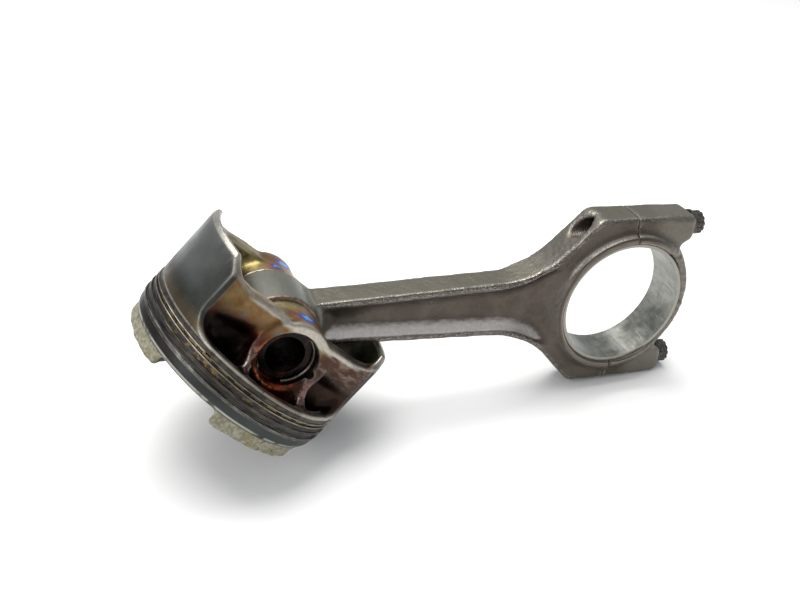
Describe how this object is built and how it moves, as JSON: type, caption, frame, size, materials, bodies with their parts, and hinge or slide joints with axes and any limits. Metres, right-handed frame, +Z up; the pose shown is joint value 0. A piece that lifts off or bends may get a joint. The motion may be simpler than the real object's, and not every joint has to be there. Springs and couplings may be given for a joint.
{
  "type": "piston and connecting rod",
  "caption": "Engine piston with expanded rings, hollow wrist pin and a forged I-beam connecting rod with a split big end, resting as an upturned V.",
  "frame": {"origin": "centre of the crankpin bore in the connecting rod's big end", "axes": "+Y along the crankpin bore, +Z up from the surface that the assembly stands on, +X from the piston towards the rod cap"},
  "size_m": [0.2221, 0.0804, 0.0879],
  "materials": {
    "piston_alloy": "worn satin with burnt oil varnish",
    "ring_steel": "satin, sooty",
    "ring_iron": "dark, sooty",
    "rail_steel": "varnished",
    "expander_steel": "varnished",
    "pin_steel": "ground, oily",
    "clip_steel": "spring steel",
    "rod_steel": "shot-peened forging",
    "bush_bronze": "dull bronze",
    "shell_metal": "stained bearing lining",
    "bolt_steel": "black oiled"
  },
  "bodies": {
    "rod": {"connecting_rod": "rod_steel", "small_end_bush": "bush_bronze", "rod_cap": "rod_steel", "rod_bearing_shell": "shell_metal", "cap_bearing_shell": "shell_metal", "upper_rod_bolt": "bolt_steel", "lower_rod_bolt": "bolt_steel"},
    "piston": {"piston": "piston_alloy", "front_circlip": "clip_steel", "rear_circlip": "clip_steel"},
    "pin": {"wrist_pin": "pin_steel"},
    "top_ring": {"top_compression_ring": "ring_steel"},
    "second_ring": {"second_compression_ring": "ring_iron"},
    "oil_ring": {"oil_ring_upper_rail": "rail_steel", "oil_ring_expander": "expander_steel", "oil_ring_lower_rail": "rail_steel"}
  },
  "joints": [
    {"name": "piston_swing", "type": "hinge", "parent": "rod", "child": "piston", "pos_m": [-0.13968, 0, 0.00947], "axis": [0, 1, 0], "range_deg": [0, 100]},
    {"name": "pin_turn", "type": "hinge", "parent": "piston", "child": "pin", "pos_m": [-0.13968, 0, 0.00947], "axis": [0, 1, 0], "continuous": true},
    {"name": "top_ring_turn", "type": "hinge", "parent": "piston", "child": "top_ring", "pos_m": [-0.13968, 0, 0.00947], "axis": [-0.6931, 0, -0.7208], "continuous": true},
    {"name": "second_ring_turn", "type": "hinge", "parent": "piston", "child": "second_ring", "pos_m": [-0.13968, 0, 0.00947], "axis": [-0.6931, 0, -0.7208], "continuous": true},
    {"name": "oil_ring_turn", "type": "hinge", "parent": "piston", "child": "oil_ring", "pos_m": [-0.13968, 0, 0.00947], "axis": [-0.6931, 0, -0.7208], "continuous": true}
  ]
}
